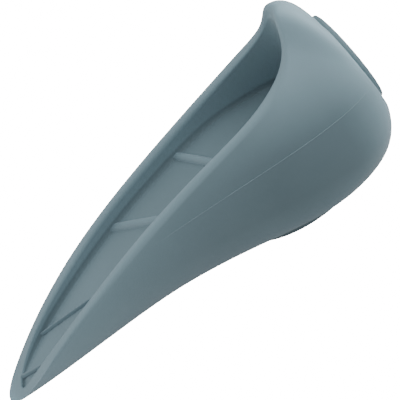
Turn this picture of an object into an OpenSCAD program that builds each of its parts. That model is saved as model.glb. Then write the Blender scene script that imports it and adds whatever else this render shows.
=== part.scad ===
// Door stop: a hollow moulded rubber wedge with a raised heel lip, and two stuck-on pads.
// Frame: millimetres, +X from the tip to the heel, +Z up, Y = 0 is the middle of the wedge.
// The origin is the centre of the base pad's lower face, and the floor is Z = 0.
// The rails, ribs and seats are drawn with X counted from just ahead of the tip.

/* [Body] */
// Length of the moulding, tip to heel
body_length = 126; // [113:1:145]
// Width of the moulding at the heel
body_width = 46; // [41:1:52]
// Height of the lip above the floor
body_height = 55; // [50:1:62]
// Height the rim rolls over between its two edges
rim_round = 1.1; // [0.5:0.1:1.4]
// Height of the level part of the tray floor at the heel
tray_level = 29.3; // [27:0.1:30]

/* [Ribs] */
// Height of the ribs above the tray floor
rib_height = 0.8; // [0.4:0.1:1.2]

/* [Pads] */
// Diameter of the disc on the back of the heel
back_disc_d = 28; // [22:0.5:30]
// Thickness of the disc on the back of the heel
back_disc_t = 1.6; // [1:0.1:2.5]
// Length of the oval anti-slip pad under the heel
base_pad_length = 38; // [30:0.5:40]
// Width of the oval anti-slip pad under the heel
base_pad_width = 27; // [22:0.5:30]
// Thickness of the anti-slip pad under the heel
base_pad_t = 1.3; // [1:0.1:2]
// Thickness of each adhesive layer
adhesive_t = 0.3; // [0.2:0.1:0.6]

/* [Hidden] */
$fn = 96;

// Size the rails below are drawn at
drawn_size = [126, 46, 55];
fit = [body_length / drawn_size[0], body_width / drawn_size[1], body_height / drawn_size[2]];

// Rails: control points of closed smooth curves round the wedge, from the tip (first) round one
// side to the heel (last). The other side is their mirror image.
outer_rim = [
    [3.2, 0, 2], [6.7, 6.3, 3.6], [19.3, 9, 12.1], [37.3, 12.1, 20], [57, 12.8, 27.2], [78, 13.8, 33.2],
    [96, 14.8, 37.7], [107.5, 14.5, 41.2], [116, 8.4, 47.5], [117, 4.5, 56.2], [121, 0, 55.4]
];
inner_rim = [
    [7.6, 0, 2.8], [9, 2.1, 4.6], [17.3, 5.8, 10.8], [34.5, 8, 18.8], [52.5, 9.5, 26.2], [73.5, 10, 31.7],
    [92, 11.5, 36.2], [106, 10, 41.2], [113, 7, 45.6], [116, 3.5, 51.1], [116.3, 0, 53]
];
belly = [
    [1, 0, 0.8], [4.5, 5.5, 2.6], [14, 8, 6.6], [34, 11.5, 11.6], [57, 15.5, 14.5], [82.5, 21, 17],
    [105.5, 26.2, 19.3], [126, 28.7, 22.3], [136.2, 27, 28.5], [135, 19.5, 43], [128.5, 0, 54.5]
];
sole = [
    [2.5, 0, 0.5], [6, 3.5, 0.8], [15, 5.5, 1.3], [35.5, 5.5, 1.6], [56.5, 5.5, 1.6], [78.5, 13, 1.6],
    [98.5, 23.6, 1.6], [113.5, 25.3, 1.6], [128.5, 18, 1.6], [132.5, 8.5, 1.6], [132, 0, 1.6]
];
last = len(outer_rim) - 1;

// Stations along one side of the wedge, and steps up the outer wall and over the rim
side_steps = 50;
wall_steps = 11;
rim_steps = 6;

// Reach of the curve over the rim, as shares of the rim's width: soft outside, crisper inside
roll_out = 0.55;
roll_in = 0.32;

// How far the wall bulges below the rim, most at one place along the side and fading either way
shoulder = 2.2;
shoulder_at = 6.8;
shoulder_spread = 2.6;
// Share of the way up the wall where the bulge is fullest
shoulder_height = 0.8;

// Flat sole: how far its edge lies in from the lower corner of the wall
sole_mid_x = 70;
sole_shrink_x = 0.8;
sole_shrink_y = 0.5;

// Tray: its wall leans in and meets the floor in a small fillet, and undercuts the lip at the heel
heel_undercut = 2.5;
tray_mid_x = 62;
tray_fillet = 0.8;
// Most of the tray's depth that the fillet may take where the tray is shallow
fillet_share = 0.6;
// Rows of the fillet, from the wall to the floor: inset along X and along Y, height as a share
fillet_rows = [[0.997, 0.97, 1], [0.995, 0.94, 0.3], [0.988, 0.88, 0]];
tray_reach = 92;
tray_drop = 30.3;
tray_curve = 1.55;
least_wall = 0.3;

// Back of the heel: where the disc sits and how far its seat leans towards the tip
seat_x = 127.7;
seat_z = 28.2;
seat_lean = 6;
// How deep the flat seat goes into the heel, and how far it stops short of the disc's edge
seat_depth = 6;
seat_inset = 0.5;
// Side of the block that cuts the heel flat outside the seat
seat_cut = 60;

// Middle of the base pad, and points round its oval outline
base_pad_x = 99;
oval_points = 96;
// How far each adhesive layer stops short of its pad's edge
adhesive_inset = 0.6;

// Ribs: X where each crosses the middle, skew (X per Y), width, reach towards -Y and towards +Y
ribs = [
    [12.1, -1.09, 1.3, 4.6, 2.4],
    [29.6, -1.61, 1.3, 8, 6.8],
    [58.8, -0.7, 3.6, 10, 10],
    [81, -0.39, 2.8, 11.5, 11.5]
];
rib_profile_steps = 6;
rib_path_steps = 10;
rib_root = 1;

function mirrored(p) = [p[0], -p[1], p[2]];
function sized(p) = [p[0] * fit[0], p[1] * fit[1], p[2] * fit[2]];

// Control point j of a rail, reflected past either end
function control(rail, j) = j < 0 ? mirrored(rail[-j]) : j > last ? mirrored(rail[2 * last - j]) : rail[j];

// Point at t on the smooth closed curve of a rail, t from 0 at the tip to last at the heel
function on_rail(rail, t) =
    let (i = min(floor(t), last - 1), u = t - i)
    ((1 - u)^3 * control(rail, i - 1)
    + (3 * u^3 - 6 * u^2 + 4) * control(rail, i)
    + (-3 * u^3 + 3 * u^2 + 3 * u + 1) * control(rail, i + 1)
    + u^3 * control(rail, i + 2)) / 6;

function cubic(a, b, c, d, s) =
    (1 - s)^3 * a + 3 * (1 - s)^2 * s * b + 3 * (1 - s) * s^2 * c + s^3 * d;

// Share of the full bulge at t along the side, and at s up the wall
function bulge_along(t) = max(0, 1 - ((t - shoulder_at) / shoulder_spread)^2);
function bulge_up(s) = s^4 * (1 - s) / (shoulder_height^4 * (1 - shoulder_height));

// Height of the tray floor at x
function tray_floor(x) = tray_level - tray_drop * max(0, 1 - x / tray_reach)^tray_curve;

function drop(p, z) = [p[0], p[1], p[2] - z];
function undercut(x) = x > tray_mid_x ? heel_undercut : 1;
function inset(p, kx, ky, z) = [p[0] + (1 - kx) * abs(p[0] - tray_mid_x) * undercut(p[0]), p[1] * ky, z];

// Outline of the wall section at t, from the edge of the flat sole up, over the rim, down to the floor
function section(t) =
    let (
        rim_out = drop(on_rail(outer_rim, t), rim_round),
        rim_in = drop(on_rail(inner_rim, t), rim_round),
        side = on_rail(belly, t),
        corner = on_rail(sole, t),
        edge_x = sole_mid_x + (corner[0] - sole_mid_x) * sole_shrink_x,
        edge = [edge_x, corner[1] * sole_shrink_y, corner[2]],
        lean = (rim_out - side) / norm(rim_out - side),
        width = norm(rim_out - rim_in),
        away = [side[0] - rim_out[0], side[1] - rim_out[1], 0],
        bulge = away / norm(away) * shoulder * bulge_along(t),
        over_out = rim_out + lean * width * roll_out,
        over_in = rim_in + [0, 0, width * roll_in],
        floor_z = min(tray_floor(rim_in[0]), rim_in[2] - least_wall),
        fillet = min(tray_fillet, (rim_in[2] - floor_z) * fillet_share)
    )
    concat(
        [for (k = [0 : wall_steps])
            cubic(edge, corner, side, rim_out, k / wall_steps) + bulge * bulge_up(k / wall_steps)],
        [for (k = [1 : rim_steps])
            cubic(rim_out, over_out, over_in, rim_in, k / rim_steps)],
        [for (row = fillet_rows)
            inset(rim_in, row[0], row[1], floor_z + fillet * row[2])]
    );

row_count = wall_steps + 1 + rim_steps + len(fillet_rows);
ring_count = 2 * side_steps;

// Sections all round: out along one side, back along the other
half_sections = [for (k = [0 : side_steps]) section(last * k / side_steps)];
all_sections = concat(
    half_sections,
    [for (k = [side_steps - 1 : -1 : 1]) [for (p = half_sections[k]) mirrored(p)]]
);
shell_points = [for (s = all_sections) for (p = s) sized(p)];

function at(ring, row) = (ring % ring_count) * row_count + row;

// Side quads between neighbouring sections, then the flat strips across the sole and the tray floor
wall_faces = [
    for (ring = [0 : ring_count - 1]) for (row = [0 : row_count - 2])
        each [
            [at(ring, row), at(ring + 1, row + 1), at(ring, row + 1)],
            [at(ring, row), at(ring + 1, row), at(ring + 1, row + 1)]
        ]
];
function strip(row) = [
    for (k = [0 : side_steps - 1])
        let (
            a = at(k, row),
            b = at(k + 1, row),
            c = at(ring_count - k - 1, row),
            d = at(ring_count - k, row)
        )
        each k == 0 ? [[a, b, c]] : k == side_steps - 1 ? [[a, b, d]] : [[a, b, c], [a, c, d]]
];
function flipped(faces) = [for (f = faces) [f[0], f[2], f[1]]];
shell_faces = concat(wall_faces, flipped(strip(0)), strip(row_count - 1));

module moulding() {
    polyhedron(shell_points, shell_faces, convexity = 10);
}

// One low rib laid askew across the tray floor, following its height
module rib(x0, skew, width, near, far) {
    ring = rib_profile_steps + 3;
    arc = [
        for (k = [0 : rib_profile_steps])
            let (turn = 180 * k / rib_profile_steps)
            [width / 2 * cos(turn), rib_height * sin(turn)]
    ];
    profile = concat([[width / 2, -rib_root]], arc, [[-width / 2, -rib_root]]);
    points = [
        for (k = [0 : rib_path_steps])
            let (y = (near + far) * k / rib_path_steps - near)
            for (q = profile)
                let (x = x0 + skew * y + q[0])
                sized([x, y, tray_floor(x) + q[1]])
    ];
    sides = [
        for (k = [0 : rib_path_steps - 1]) for (j = [0 : ring - 1])
            let (n = (j + 1) % ring)
            each [
                [k * ring + j, k * ring + n, (k + 1) * ring + n],
                [k * ring + j, (k + 1) * ring + n, (k + 1) * ring + j]
            ]
    ];
    last_ring = rib_path_steps * ring;
    first_end = [for (j = [1 : ring - 2]) [0, j + 1, j]];
    last_end = [for (j = [1 : ring - 2]) [last_ring, last_ring + j, last_ring + j + 1]];
    polyhedron(points, concat(sides, first_end, last_end), convexity = 4);
}

// Puts its children on the seat of the back disc, local +Z pointing out of the heel
module on_back_seat() {
    translate([seat_x * fit[0], 0, seat_z * fit[2]]) rotate([0, 90 - seat_lean, 0]) children();
}

module shell() {
    color("lightslategray") difference() {
        union() {
            moulding();
            for (r = ribs) rib(r[0], r[1], r[2], r[3], r[4]);
            on_back_seat() translate([0, 0, -seat_depth])
                cylinder(d = back_disc_d - 2 * seat_inset, h = seat_depth);
        }
        on_back_seat() translate([-seat_cut / 2, -seat_cut / 2, 0]) cube(seat_cut);
    }
}

module back_adhesive() {
    color("darkslategray") on_back_seat() cylinder(d = back_disc_d - 2 * adhesive_inset, h = adhesive_t);
}

module back_pad() {
    color("slategray") on_back_seat() translate([0, 0, adhesive_t])
        cylinder(d = back_disc_d, h = back_disc_t);
}

// Flat oval plate lying on Z = 0
module oval(length, width, thickness) {
    outline = [
        for (k = [0 : oval_points - 1])
            [length / 2 * cos(360 * k / oval_points), width / 2 * sin(360 * k / oval_points)]
    ];
    linear_extrude(thickness) polygon(outline);
}

module base_adhesive() {
    color("darkslategray") translate([base_pad_x * fit[0], 0, base_pad_t])
        oval(base_pad_length - 2 * adhesive_inset, base_pad_width - 2 * adhesive_inset, adhesive_t);
}

module base_pad() {
    color("slategray") translate([base_pad_x * fit[0], 0, 0])
        oval(base_pad_length, base_pad_width, base_pad_t);
}

// Moves its children so the origin is under the middle of the base pad
module placed() {
    translate([-base_pad_x * fit[0], 0, 0]) children();
}

placed() shell();
placed() back_pad();
placed() back_adhesive();
placed() base_pad();
placed() base_adhesive();
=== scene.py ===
"""Door stop: a hollow moulded rubber wedge with a stuck-on disc and an oval pad.

Metres, in the CAD row frame. Shape numbers are in millimetres until in_row() converts them.
"""

import math

import bmesh
import bpy
from mathutils import Matrix, Vector


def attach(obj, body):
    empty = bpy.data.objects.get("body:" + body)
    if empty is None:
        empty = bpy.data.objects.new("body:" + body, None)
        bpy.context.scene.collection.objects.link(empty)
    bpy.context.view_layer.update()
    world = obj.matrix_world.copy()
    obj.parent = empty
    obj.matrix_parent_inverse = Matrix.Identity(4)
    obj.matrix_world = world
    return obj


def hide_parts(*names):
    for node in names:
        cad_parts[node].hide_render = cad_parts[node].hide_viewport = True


MM = 0.001

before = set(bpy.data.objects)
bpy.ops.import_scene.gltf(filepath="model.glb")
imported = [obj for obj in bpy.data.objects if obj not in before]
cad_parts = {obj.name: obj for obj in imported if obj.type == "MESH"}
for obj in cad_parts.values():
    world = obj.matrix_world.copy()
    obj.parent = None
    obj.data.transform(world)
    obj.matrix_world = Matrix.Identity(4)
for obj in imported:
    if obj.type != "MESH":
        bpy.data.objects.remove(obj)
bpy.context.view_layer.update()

# ---------------------------------------------------------------- camera
# The angles, roll and distance came from a fit to the object's outline, and were rounded.

CAMERA_AZIMUTH = -8.0
CAMERA_ELEVATION = 34.0
CAMERA_ROLL = 31.2
CAMERA_DISTANCE = 0.909
CAMERA_LENS_MM = 308.0
SENSOR_MM = 36.0
# Point of the wedge the camera is centred on, and how far the picture's centre is from it
AIM = Vector((-0.029, 0.0, 0.0216))
AIM_RIGHT = 0.0055
AIM_UP = 0.0006


def picture_axes(azimuth, elevation, roll):
    """Right, up and towards-the-camera directions of a picture taken from that side."""
    az = math.radians(azimuth)
    el = math.radians(elevation)
    tilt = math.radians(roll)
    towards = Vector((math.sin(az) * math.cos(el), -math.cos(az) * math.cos(el), math.sin(el)))
    level = Vector((math.cos(az), math.sin(az), 0.0))
    rise = towards.cross(level)
    right = level * math.cos(tilt) - rise * math.sin(tilt)
    up = level * math.sin(tilt) + rise * math.cos(tilt)
    return right, up, towards


RIGHT, UP, TOWARDS = picture_axes(CAMERA_AZIMUTH, CAMERA_ELEVATION, CAMERA_ROLL)


def add_camera():
    """A long lens at the photograph's viewing angle."""
    data = bpy.data.cameras.new("camera")
    data.sensor_width = SENSOR_MM
    data.lens = CAMERA_LENS_MM
    data.clip_start = 0.01
    data.clip_end = 20.0
    camera = bpy.data.objects.new("camera", data)
    bpy.context.scene.collection.objects.link(camera)
    place = AIM + RIGHT * AIM_RIGHT + UP * AIM_UP + TOWARDS * CAMERA_DISTANCE
    turn = Matrix((RIGHT, UP, TOWARDS)).transposed()
    camera.matrix_world = Matrix.Translation(place) @ turn.to_4x4()
    bpy.context.scene.camera = camera


add_camera()

# ---------------------------------------------------------------- shape of the moulding
# Rails: control points in millimetres of closed smooth curves round the wedge, from the tip
# round one side to the heel. The other side is their mirror image. X counts from ahead of the tip.
# The points weren't chosen by hand. Two least-squares fits to the object's outlines gave nearly
# all of them, and they were then rounded and adjusted. The same rails are in the CAD source.

BASE_PAD_X = 99.0

OUTER_RIM = [
    (3.2, 0, 2), (6.7, 6.3, 3.6), (19.3, 9, 12.1), (37.3, 12.1, 20), (57, 12.8, 27.2), (78, 13.8, 33.2),
    (96, 14.8, 37.7), (107.5, 14.5, 41.2), (116, 8.4, 47.5), (117, 4.5, 56.2), (121, 0, 55.4),
]
INNER_RIM = [
    (7.6, 0, 2.8), (9, 2.1, 4.6), (17.3, 5.8, 10.8), (34.5, 8, 18.8), (52.5, 9.5, 26.2), (73.5, 10, 31.7),
    (92, 11.5, 36.2), (106, 10, 41.2), (113, 7, 45.6), (116, 3.5, 51.1), (116.3, 0, 53),
]
BELLY = [
    (1, 0, 0.8), (4.5, 5.5, 2.6), (14, 8, 6.6), (34, 11.5, 11.6), (57, 15.5, 14.5), (82.5, 21, 17),
    (105.5, 26.2, 19.3), (126, 28.7, 22.3), (136.2, 27, 28.5), (135, 19.5, 43), (128.5, 0, 54.5),
]
SOLE = [
    (2.5, 0, 0.5), (6, 3.5, 0.8), (15, 5.5, 1.3), (35.5, 5.5, 1.6), (56.5, 5.5, 1.6), (78.5, 13, 1.6),
    (98.5, 23.6, 1.6), (113.5, 25.3, 1.6), (128.5, 18, 1.6), (132.5, 8.5, 1.6), (132, 0, 1.6),
]
LAST = len(OUTER_RIM) - 1

RIM_ROUND = 1.1
# Reach of the curve over the rim, as shares of its width: soft outside, crisper inside
ROLL_OUT = 0.55
ROLL_IN = 0.32
TRAY_LEVEL = 29.3
TRAY_DROP = 30.3
TRAY_REACH = 92.0
TRAY_CURVE = 1.55
TRAY_MID_X = 62.0
TRAY_FILLET = 1.2
HEEL_UNDERCUT = 2.5
LEAST_WALL = 0.3
# How far the wall bulges below the rim, most at one place along the side and fading either way,
# and the share of the way up the wall where the bulge is fullest
SHOULDER = 2.2
SHOULDER_AT = 6.8
SHOULDER_SPREAD = 2.6
SHOULDER_HEIGHT = 0.8

# The flat sole's edge is the wall's lower corner shrunk towards this X, along X and along Y
SOLE_MID_X = 70.0
SOLE_SHRINK_X = 0.8
SOLE_SHRINK_Y = 0.5

# X where each rib crosses the middle, skew (X per Y), width, reach towards -Y and towards +Y
RIBS = [
    (12.1, -1.09, 1.3, 4.6, 2.4),
    (29.6, -1.61, 1.3, 8, 6.8),
    (58.8, -0.7, 3.6, 10, 10),
    (81, -0.39, 2.8, 11.5, 11.5),
]
RIB_HEIGHT = 0.8
RIB_STEPS_ALONG = 60
RIB_STEPS_ACROSS = 14
# Higher makes the rib's top flatter and its sides steeper
RIB_SQUARENESS = 3.5
# How far the rib's sides go below the floor, and how far its two ends sink, from where along it
RIB_SKIRT = 0.12
RIB_END_SINK = 1.5 * RIB_HEIGHT
RIB_END_FROM = 0.95

SEAT = Vector((127.7, 0.0, 28.2))
SEAT_LEAN = 6.0
SEAT_OUT = Vector((math.cos(math.radians(SEAT_LEAN)), 0.0, math.sin(math.radians(SEAT_LEAN))))
# The flat seat behind the disc: (radius, height) from inside the heel to its face
SEAT_PROFILE = [(13.5, -6), (13.5, -0.15), (13.4, 0)]

# Moulding's parting plane: height at X = 56 and rise per millimetre of X
SEAM_Z = 23.8
SEAM_X = 56.0
SEAM_RISE = 0.078
SEAM_RADIUS = 0.11
# Least height of the rim above the plane where the line still shows
SEAM_CLEARANCE = 0.6
SEAM_SEARCHES = 30
SEAM_SIDES = 6
# Steps over which the line fades in and out, and the share of its radius that it is sunk
SEAM_FADE_STEPS = 12
SEAM_SUNK = 0.45


def mirrored(p):
    """The same point on the other side of the wedge."""
    return Vector((p[0], -p[1], p[2]))


def control(rail, j):
    """Control point j of a rail, reflected past either end."""
    if j < 0:
        return mirrored(rail[-j])
    if j > LAST:
        return mirrored(rail[2 * LAST - j])
    return Vector(rail[j])


def on_rail(rail, t):
    """Point at t on a rail's smooth curve, t from 0 at the tip to LAST at the heel."""
    i = min(int(t), LAST - 1)
    u = t - i
    total = control(rail, i - 1) * (1 - u) ** 3
    total += control(rail, i) * (3 * u**3 - 6 * u**2 + 4)
    total += control(rail, i + 1) * (-3 * u**3 + 3 * u**2 + 3 * u + 1)
    total += control(rail, i + 2) * u**3
    return total / 6


def cubic(a, b, c, d, s):
    """Point at s on the Bezier curve with those four points."""
    return a * (1 - s) ** 3 + b * (3 * (1 - s) ** 2 * s) + c * (3 * (1 - s) * s**2) + d * s**3


def tray_floor(x):
    """Height of the tray floor at x."""
    return TRAY_LEVEL - TRAY_DROP * max(0.0, 1 - x / TRAY_REACH) ** TRAY_CURVE


def wall_ends(t):
    """Sole edge, lower corner, belly and rim edge of the outer wall at t."""
    corner = on_rail(SOLE, t)
    edge_x = SOLE_MID_X + (corner.x - SOLE_MID_X) * SOLE_SHRINK_X
    edge = Vector((edge_x, corner.y * SOLE_SHRINK_Y, corner.z))
    rim = on_rail(OUTER_RIM, t) - Vector((0, 0, RIM_ROUND))
    return edge, corner, on_rail(BELLY, t), rim


def outer_wall(t, s):
    """Point on the outer wall at t, s from 0 at the sole's edge to 1 at the rim."""
    edge, corner, side, rim = wall_ends(t)
    away = Vector((side.x - rim.x, side.y - rim.y, 0)).normalized()
    along = max(0.0, 1 - ((t - SHOULDER_AT) / SHOULDER_SPREAD) ** 2)
    up = s**4 * (1 - s) / (SHOULDER_HEIGHT**4 * (1 - SHOULDER_HEIGHT))
    return cubic(edge, corner, side, rim, s) + away * SHOULDER * along * up


def inset(p, kx, ky, z):
    """p drawn in from the rim's inner edge towards the tray's floor, at height z."""
    undercut = HEEL_UNDERCUT if p.x > TRAY_MID_X else 1.0
    return Vector((p.x + (1 - kx) * abs(p.x - TRAY_MID_X) * undercut, p.y * ky, z))


WALL_STEPS = 36
RIM_STEPS = 12
SIDE_STEPS = 180
# Rows of the tray's fillet, from the wall to the floor: inset along X and Y, height as a share
FILLET = [
    (0.999, 0.985, 1.6),
    (0.997, 0.97, 1.0),
    (0.996, 0.95, 0.5),
    (0.993, 0.92, 0.15),
    (0.988, 0.88, 0.0),
]
# Most of the tray's depth that the fillet may take where the tray is shallow
FILLET_SHARE = 0.5


def section(t):
    """Wall outline at t, from the flat sole's edge up, over the rim, down to the tray floor."""
    side, rim_out = wall_ends(t)[2:]
    rim_in = on_rail(INNER_RIM, t) - Vector((0, 0, RIM_ROUND))
    lean = (rim_out - side).normalized()
    width = (rim_out - rim_in).length
    over = (rim_out, rim_out + lean * width * ROLL_OUT, rim_in + Vector((0, 0, width * ROLL_IN)), rim_in)
    floor_z = min(tray_floor(rim_in.x), rim_in.z - LEAST_WALL)
    fillet = min(TRAY_FILLET, (rim_in.z - floor_z) * FILLET_SHARE)
    points = [outer_wall(t, k / WALL_STEPS) for k in range(WALL_STEPS + 1)]
    for k in range(1, RIM_STEPS + 1):
        points.append(cubic(*over, k / RIM_STEPS))
    for kx, ky, height in FILLET:
        points.append(inset(rim_in, kx, ky, floor_z + fillet * height))
    return points


def seated(p):
    """p, pressed back to the flat seat of the disc on the heel."""
    over = (p - SEAT).dot(SEAT_OUT)
    if over > 0:
        return p - SEAT_OUT * over
    return p


def in_row(p):
    """Millimetres counted from the tip to metres in the row frame."""
    return Vector(((p[0] - BASE_PAD_X) * MM, p[1] * MM, p[2] * MM))


def ramp(value, start, end):
    """0 at start, rising to 1 at end, and flat beyond both."""
    return min(1.0, max(0.0, (value - start) / (end - start)))


# Tone of each region: -1 is darkest, 1 is palest, and more is held there. They were tuned until the
# render's tones came near the photograph's, because the lights alone didn't bring them there. The
# photograph shows no wear. The limits of the ramps are X and Z in millimetres.
# All these tones are painted light and shade on the body: a paler heel top, heel back and tip, a painted
# highlight on the rim, and painted shade on the heel's side, in the tray's corners and across the tray
# floor, darker towards the heel.
HEEL_SIDE_PAINTED_SHADE = -0.8
HEEL_TOP_PAINTED_LIGHT = 2.1
HEEL_BACK_PAINTED_LIGHT = 0.6
TIP_PAINTED_LIGHT = 0.9
RIM_PAINTED_HIGHLIGHT = 0.55
TRAY_WALL_PAINTED_LIGHT = 0.1
TRAY_CORNER_PAINTED_SHADE = -0.9
TRAY_TIP_PAINTED_SHADE = -0.1
TRAY_HEEL_PAINTED_SHADE = -0.55
# Share of the way over the rim where its inner edge is palest, and how far that reaches
INNER_EDGE_AT = 0.8
INNER_EDGE_REACH = 0.2


def painted_shading_at(row, p):
    """How much paler (above 0, painted light) or darker (below 0, painted shade) than plain the rubber is
    at p in that row.
    """
    # Painted shade on the heel's side; painted light on the heel's top, its back and the tip
    heel_side = HEEL_SIDE_PAINTED_SHADE * ramp(p.x, 40, 90) * ramp(p.z, 2, 14) * ramp(p.x, 130, 114)
    heel_top = HEEL_TOP_PAINTED_LIGHT * ramp(p.z, 28, 48) * ramp(p.x, 70, 105)
    heel_back = HEEL_BACK_PAINTED_LIGHT * ramp(p.x, 118, 130)
    tip = TIP_PAINTED_LIGHT * ramp(p.x, 45, 6)
    outside = heel_side + heel_top + heel_back + tip
    if row <= WALL_STEPS:
        return outside
    if row <= WALL_STEPS + RIM_STEPS:
        over = (row - WALL_STEPS) / RIM_STEPS
        # Painted highlight on the rim's crest and, towards the heel, along its inner edge
        inner_edge = ramp(abs(over - INNER_EDGE_AT), INNER_EDGE_REACH, 0.0) * ramp(p.x, 90, 105)
        crest = RIM_PAINTED_HIGHLIGHT * math.sin(math.pi * over) ** 0.5
        return max(outside * (1 - over), crest, inner_edge)
    # Painted light on the tray wall's top row, painted shade in the fillet's corner, and painted shade on
    # the tray floor, growing towards the heel
    corner = row - WALL_STEPS - RIM_STEPS
    if corner == 1:
        return TRAY_WALL_PAINTED_LIGHT
    if corner < len(FILLET):
        return TRAY_CORNER_PAINTED_SHADE
    return TRAY_TIP_PAINTED_SHADE + TRAY_HEEL_PAINTED_SHADE * ramp(p.x, 20, 70)


def add_moulding(bm):
    """The wedge's skin: sections all round, closed by strips across the sole and the tray floor."""
    # Each corner holds its painted light or shade value, read by the body's material
    painted_shading = bm.verts.layers.float.new("painted_shading")
    half_loop = [section(LAST * k / SIDE_STEPS) for k in range(SIDE_STEPS + 1)]
    other = [[mirrored(p) for p in half_loop[k]] for k in range(SIDE_STEPS - 1, 0, -1)]
    rings = []
    for points in half_loop + other:
        ring = []
        for row, p in enumerate(points):
            corner = bm.verts.new(in_row(seated(p)))
            corner[painted_shading] = painted_shading_at(row, p)
            ring.append(corner)
        rings.append(ring)
    count = len(rings)
    rows = len(rings[0])
    for r in range(count):
        here = rings[r]
        following = rings[(r + 1) % count]
        for row in range(rows - 1):
            bm.faces.new((here[row], following[row], following[row + 1], here[row + 1]))
    for row in (0, rows - 1):
        for k in range(SIDE_STEPS):
            corners = [rings[k][row], rings[k + 1][row]]
            corners += [rings[(count - k - 1) % count][row], rings[(count - k) % count][row]]
            kept = list(dict.fromkeys(corners))
            bm.faces.new(kept if row else kept[::-1])


def sweep(bm, rings, closed, slot=0):
    """Joins a list of equal rings of points into a skin that wears that material slot."""
    grid = [[bm.verts.new(p) for p in ring] for ring in rings]
    for a, b in zip(grid, grid[1:]):
        n = len(a)
        for j in range(n if closed else n - 1):
            face = bm.faces.new((a[j], a[(j + 1) % n], b[(j + 1) % n], b[j]))
            face.material_index = slot


def add_rib(bm, x0, skew, width, near, far):
    """One low rib askew across the tray floor, its two ends sunk out of sight."""
    rings = []
    for k in range(RIB_STEPS_ALONG + 1):
        y = (near + far) * k / RIB_STEPS_ALONG - near
        from_middle = abs(2 * k / RIB_STEPS_ALONG - 1)
        sunk = RIB_END_SINK * ramp(from_middle, RIB_END_FROM, 1.0)
        ring = []
        for j in range(RIB_STEPS_ACROSS + 1):
            u = 2 * j / RIB_STEPS_ACROSS - 1
            lift = RIB_HEIGHT * (1 - abs(u) ** RIB_SQUARENESS) - RIB_SKIRT * abs(u) - sunk
            x = x0 + skew * y + u * width / 2
            ring.append(in_row((x, y, tray_floor(x) + lift)))
        rings.append(ring)
    sweep(bm, rings, closed=False)


def seam_point(t):
    """Where the outer wall at t crosses the parting plane, or None."""
    low = 0.0
    high = 1.0

    def above(s):
        p = outer_wall(t, s)
        return p.z - SEAM_Z - SEAM_RISE * (p.x - SEAM_X)

    if above(high) < SEAM_CLEARANCE:
        return None
    for _ in range(SEAM_SEARCHES):
        middle = (low + high) / 2
        if above(middle) > 0:
            high = middle
        else:
            low = middle
    return outer_wall(t, low)


def add_seam(bm, side):
    """The moulding's thin parting line along one side (1) or the other (-1)."""
    points = [seam_point(LAST * k / SIDE_STEPS) for k in range(SIDE_STEPS + 1)]
    points = [p for p in points if p is not None and (p - SEAT).dot(SEAT_OUT) < 0]
    rings = []
    for k in range(1, len(points) - 1):
        along = (points[k + 1] - points[k - 1]).normalized()
        out = Vector((along.y, -along.x, 0)).normalized()
        if out.y < 0 and points[k].y > 1:
            out = -out
        fade = min(1.0, k / SEAM_FADE_STEPS, (len(points) - 1 - k) / SEAM_FADE_STEPS)
        ring = []
        for j in range(SEAM_SIDES):
            turn = 2 * math.pi * j / SEAM_SIDES
            off = out * math.cos(turn) + Vector((0, 0, math.sin(turn)))
            p = points[k] + off * SEAM_RADIUS * fade - out * SEAM_RADIUS * SEAM_SUNK
            ring.append(in_row((p.x, p.y * side, p.z)))
        rings.append(ring)
    sweep(bm, rings, closed=True, slot=1)


def lathe(bm, profile, origin, axis_x, axis_y, axis_z, steps=144):
    """Turns a (radius, height) profile, in millimetres, about axis_z at origin."""
    rings = []
    for r, h in profile:
        ring = []
        for k in range(steps):
            turn = 2 * math.pi * k / steps
            p = origin + axis_z * h + (axis_x * math.cos(turn) + axis_y * math.sin(turn)) * r
            ring.append(bm.verts.new(in_row(p)))
        rings.append(ring)
    for a, b in zip(rings, rings[1:]):
        for k in range(steps):
            n = (k + 1) % steps
            bm.faces.new((a[k], a[n], b[n], b[k]))
    bm.faces.new(rings[0][::-1])
    bm.faces.new(rings[-1])


def disc_profile(radius, bottom, top, edge):
    """A disc with both rims rounded to a radius of edge."""
    steps = 6
    points = []
    for k in range(steps + 1):
        turn = math.pi / 2 * k / steps
        points.append((radius - edge + edge * math.sin(turn), bottom + edge - edge * math.cos(turn)))
    for k in range(steps + 1):
        turn = math.pi / 2 * k / steps
        points.append((radius - edge + edge * math.cos(turn), top - edge + edge * math.sin(turn)))
    return points


def finish_mesh(name, bm, *materials, smooth_angle=40.0):
    """Makes the object, smooth but for edges sharper than smooth_angle."""
    bmesh.ops.recalc_face_normals(bm, faces=bm.faces)
    mesh = bpy.data.meshes.new(name)
    bm.to_mesh(mesh)
    bm.free()
    for material in materials:
        mesh.materials.append(material)
    mesh.shade_smooth()
    mesh.set_sharp_from_angle(angle=math.radians(smooth_angle))
    piece = bpy.data.objects.new(name, mesh)
    bpy.context.scene.collection.objects.link(piece)
    return piece


# ---------------------------------------------------------------- materials


def nodes_of(name):
    """A new material, its node tree and its shader."""
    material = bpy.data.materials.new(name)
    material.use_nodes = True
    tree = material.node_tree
    shader = tree.nodes["Principled BSDF"]
    return material, tree, shader


# How much the mesh's painted light and shade values scale the base colour, at -1 and at 1
DARKEST = 0.64
PALEST = 1.44


def add_painted_shading(tree, colour, shader):
    """Scales the colour by the mesh's painted light and shade values."""
    painted_tones = tree.nodes.new("ShaderNodeAttribute")
    painted_tones.attribute_name = "painted_shading"
    amount = tree.nodes.new("ShaderNodeMapRange")
    amount.inputs["From Min"].default_value = -1.0
    amount.inputs["From Max"].default_value = 1.0
    amount.inputs["To Min"].default_value = DARKEST
    amount.inputs["To Max"].default_value = PALEST
    tree.links.new(painted_tones.outputs["Fac"], amount.inputs["Value"])
    painted_scale = tree.nodes.new("ShaderNodeVectorMath")
    painted_scale.operation = "SCALE"
    tree.links.new(colour, painted_scale.inputs[0])
    tree.links.new(amount.outputs["Result"], painted_scale.inputs["Scale"])
    tree.links.new(painted_scale.outputs["Vector"], shader.inputs["Base Color"])


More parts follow.
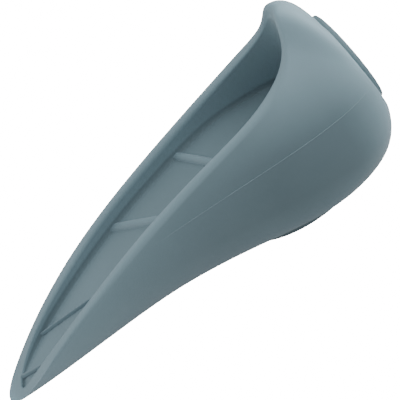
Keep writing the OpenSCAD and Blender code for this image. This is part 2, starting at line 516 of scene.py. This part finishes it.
def rubber(name, colour, roughness, grain=1.0, sheen=0.0, painted_tones=False):
    """Moulded matte rubber: fine spark-eroded texture, slight cloudiness, scuffs that shine a little."""
    material, tree, shader = nodes_of(name)
    nodes = tree.nodes
    links = tree.links
    place = nodes.new("ShaderNodeTexCoord")

    cloud = nodes.new("ShaderNodeTexNoise")
    cloud.inputs["Scale"].default_value = 45.0
    cloud.inputs["Detail"].default_value = 4.0
    links.new(place.outputs["Object"], cloud.inputs["Vector"])
    tone = nodes.new("ShaderNodeValToRGB")
    tone.color_ramp.elements[0].position = 0.3
    tone.color_ramp.elements[0].color = [c * 0.965 for c in colour] + [1.0]
    tone.color_ramp.elements[1].position = 0.7
    tone.color_ramp.elements[1].color = [c * 1.035 for c in colour] + [1.0]
    links.new(cloud.outputs["Fac"], tone.inputs["Fac"])
    # When set, the colour is scaled by the mesh's painted light and shade
    if painted_tones:
        add_painted_shading(tree, tone.outputs["Color"], shader)
    else:
        links.new(tone.outputs["Color"], shader.inputs["Base Color"])

    scuff = nodes.new("ShaderNodeTexNoise")
    scuff.inputs["Scale"].default_value = 160.0
    scuff.inputs["Detail"].default_value = 6.0
    links.new(place.outputs["Object"], scuff.inputs["Vector"])
    shine = nodes.new("ShaderNodeMapRange")
    shine.inputs["From Min"].default_value = 0.35
    shine.inputs["From Max"].default_value = 0.7
    shine.inputs["To Min"].default_value = roughness - 0.06
    shine.inputs["To Max"].default_value = roughness + 0.06
    links.new(scuff.outputs["Fac"], shine.inputs["Value"])
    links.new(shine.outputs["Result"], shader.inputs["Roughness"])

    fine = nodes.new("ShaderNodeTexNoise")
    fine.inputs["Scale"].default_value = 2600.0
    fine.inputs["Detail"].default_value = 3.0
    links.new(place.outputs["Object"], fine.inputs["Vector"])
    bump = nodes.new("ShaderNodeBump")
    bump.inputs["Strength"].default_value = 0.12 * grain
    bump.inputs["Distance"].default_value = 0.0001
    links.new(fine.outputs["Fac"], bump.inputs["Height"])
    links.new(bump.outputs["Normal"], shader.inputs["Normal"])

    shader.inputs["Specular IOR Level"].default_value = 0.35
    shader.inputs["Sheen Weight"].default_value = sheen
    return material


# Light the pale floor throws back at the part, and how bright it looks in the picture
FLOOR_TONE = 0.15
FLOOR_BOUNCE = 0.45
FLOOR_SEEN = 20.0
# Keeps the floor's face from lying in the base pad's lower face
FLOOR_GAP = 0.0001


def pale_floor_material():
    """Plain white to the camera, and a modest pale glow to the object."""
    material, tree, shader = nodes_of("pale_floor")
    shader.inputs["Base Color"].default_value = (FLOOR_TONE, FLOOR_TONE, FLOOR_TONE, 1.0)
    shader.inputs["Roughness"].default_value = 0.9
    shader.inputs["Emission Color"].default_value = (1.0, 1.0, 1.0, 1.0)
    seen = tree.nodes.new("ShaderNodeLightPath")
    glow = tree.nodes.new("ShaderNodeMapRange")
    glow.inputs["To Min"].default_value = FLOOR_BOUNCE
    glow.inputs["To Max"].default_value = FLOOR_SEEN
    tree.links.new(seen.outputs["Is Camera Ray"], glow.inputs["Value"])
    tree.links.new(glow.outputs["Result"], shader.inputs["Emission Strength"])
    return material


# The body's colour came from the same solve as the strengths of the lights
BODY_COLOUR = (0.158, 0.239, 0.279)
# The seam is paler than the body: a painted highlight along the parting line's ridge
SEAM_HIGHLIGHT_COLOUR = (0.2, 0.29, 0.33)
PAD_COLOUR = (0.175, 0.25, 0.28)
GRIP_COLOUR = (0.12, 0.17, 0.195)
ADHESIVE_COLOUR = (0.07, 0.095, 0.105)

# The body's colour carries the painted light and shade from the mesh's values
BODY = rubber("body_rubber", BODY_COLOUR, 0.6, sheen=0.1, painted_tones=True)
SEAM = rubber("seam_painted_highlight", SEAM_HIGHLIGHT_COLOUR, 0.55)
PAD = rubber("pad_rubber", PAD_COLOUR, 0.6)
GRIP = rubber("grip_rubber", GRIP_COLOUR, 0.75, grain=2.0)
ADHESIVE = rubber("adhesive", ADHESIVE_COLOUR, 0.85, grain=3.0)

# ---------------------------------------------------------------- pieces


def build_shell():
    """The whole moulding: skin, ribs, parting lines and the disc's flat seat."""
    bm = bmesh.new()
    add_moulding(bm)
    for rib in RIBS:
        add_rib(bm, *rib)
    for side in (1, -1):
        add_seam(bm, side)
    across = Vector((0, 1, 0))
    lathe(bm, SEAT_PROFILE, SEAT, SEAT_OUT.cross(across), across, SEAT_OUT)
    return finish_mesh("shell_skin", bm, BODY, SEAM)


def build_back_disc(name, radius, bottom, top, edge, material):
    """A round plate on the heel's seat, from bottom to top above it."""
    bm = bmesh.new()
    across = Vector((0, 1, 0))
    profile = disc_profile(radius, bottom, top, edge)
    lathe(bm, profile, SEAT, SEAT_OUT.cross(across), across, SEAT_OUT)
    return finish_mesh(name, bm, material)


def build_base_pad(name, length, width, bottom, top, edge, material):
    """An oval pad: a disc as wide as the pad, stretched along X to its length."""
    bm = bmesh.new()
    profile = disc_profile(width / 2, bottom, top, edge)
    along = Vector((length / width, 0, 0))
    lathe(bm, profile, Vector((BASE_PAD_X, 0, 0)), along, Vector((0, 1, 0)), Vector((0, 0, 1)))
    return finish_mesh(name, bm, material)


def put(piece, node):
    """Rides the piece on the one body, in place of its CAD node."""
    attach(piece, "root")
    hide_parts(node)


BACK_RADIUS = 14.0
BACK_T = 1.6
BACK_EDGE = 0.45
PAD_LENGTH = 38.0
PAD_WIDTH = 27.0
PAD_T = 1.3
PAD_EDGE = 0.35
ADHESIVE_T = 0.3
ADHESIVE_INSET = 0.6
ADHESIVE_EDGE = 0.05

shell_skin = build_shell()
put(shell_skin, "shell")

back_film = build_back_disc(
    "back_adhesive_film", BACK_RADIUS - ADHESIVE_INSET, 0, ADHESIVE_T, ADHESIVE_EDGE, ADHESIVE
)
put(back_film, "back_adhesive")

back_disc = build_back_disc("back_disc", BACK_RADIUS, ADHESIVE_T, ADHESIVE_T + BACK_T, BACK_EDGE, PAD)
put(back_disc, "back_pad")

film_length = PAD_LENGTH - 2 * ADHESIVE_INSET
film_width = PAD_WIDTH - 2 * ADHESIVE_INSET
base_film = build_base_pad(
    "base_adhesive_film", film_length, film_width, PAD_T, PAD_T + ADHESIVE_T, ADHESIVE_EDGE, ADHESIVE
)
put(base_film, "base_adhesive")

base_pad = build_base_pad("base_pad_skin", PAD_LENGTH, PAD_WIDTH, 0, PAD_T, PAD_EDGE, GRIP)
put(base_pad, "base_pad")

# ---------------------------------------------------------------- floor and light


FLOOR_HALF_SIZE = 6.0


def add_floor():
    """The plain floor, which isn't part of the object."""
    bm = bmesh.new()
    bmesh.ops.create_grid(bm, x_segments=1, y_segments=1, size=FLOOR_HALF_SIZE)
    mesh = bpy.data.meshes.new("floor")
    bm.to_mesh(mesh)
    bm.free()
    mesh.materials.append(pale_floor_material())
    floor = bpy.data.objects.new("floor", mesh)
    floor.location.z = -FLOOR_GAP
    bpy.context.scene.collection.objects.link(floor)


# Wide soft lights of the studio: where each one stands, and how strong it is. The strengths came
# from a least-squares solve against the photograph's tones, and were rounded.
SOFT_LIGHTS = [
    (UP + RIGHT, 7.2),
    (Vector((1.0, 0.0, 0.9)), 2.6),
    (-RIGHT, 2.9),
    (TOWARDS, 1.4),
    (Vector((0.0, 0.0, 1.0)), 1.0),
]
# Higher gathers each soft light closer round its middle
SOFT_LIGHT_FOCUS = 8.0


def add_soft_light(tree, seen_from, direction, strength):
    """One round glow of the tent, brightest in that direction."""
    facing = tree.nodes.new("ShaderNodeVectorMath")
    facing.operation = "DOT_PRODUCT"
    facing.inputs[1].default_value = direction.normalized()
    tree.links.new(seen_from, facing.inputs[0])
    front = tree.nodes.new("ShaderNodeMath")
    front.operation = "MAXIMUM"
    front.inputs[1].default_value = 0.0
    tree.links.new(facing.outputs["Value"], front.inputs[0])
    focus = tree.nodes.new("ShaderNodeMath")
    focus.operation = "POWER"
    focus.inputs[1].default_value = SOFT_LIGHT_FOCUS
    tree.links.new(front.outputs["Value"], focus.inputs[0])
    glow = tree.nodes.new("ShaderNodeMath")
    glow.operation = "MULTIPLY"
    glow.inputs[1].default_value = strength
    tree.links.new(focus.outputs["Value"], glow.inputs[0])
    return glow.outputs["Value"]


def add_studio():
    """A white tent lit by a few wide soft lights."""
    world = bpy.data.worlds.new("studio")
    world.use_nodes = True
    tree = world.node_tree
    background = tree.nodes["Background"]
    background.inputs["Color"].default_value = (1.0, 1.0, 1.0, 1.0)
    place = tree.nodes.new("ShaderNodeTexCoord")
    total = None
    for direction, strength in SOFT_LIGHTS:
        glow = add_soft_light(tree, place.outputs["Generated"], direction, strength)
        if total is None:
            total = glow
            continue
        both = tree.nodes.new("ShaderNodeMath")
        both.operation = "ADD"
        tree.links.new(total, both.inputs[0])
        tree.links.new(glow, both.inputs[1])
        total = both.outputs["Value"]
    tree.links.new(total, background.inputs["Strength"])
    bpy.context.scene.world = world


add_floor()
add_studio()

# ---------------------------------------------------------------- hand over

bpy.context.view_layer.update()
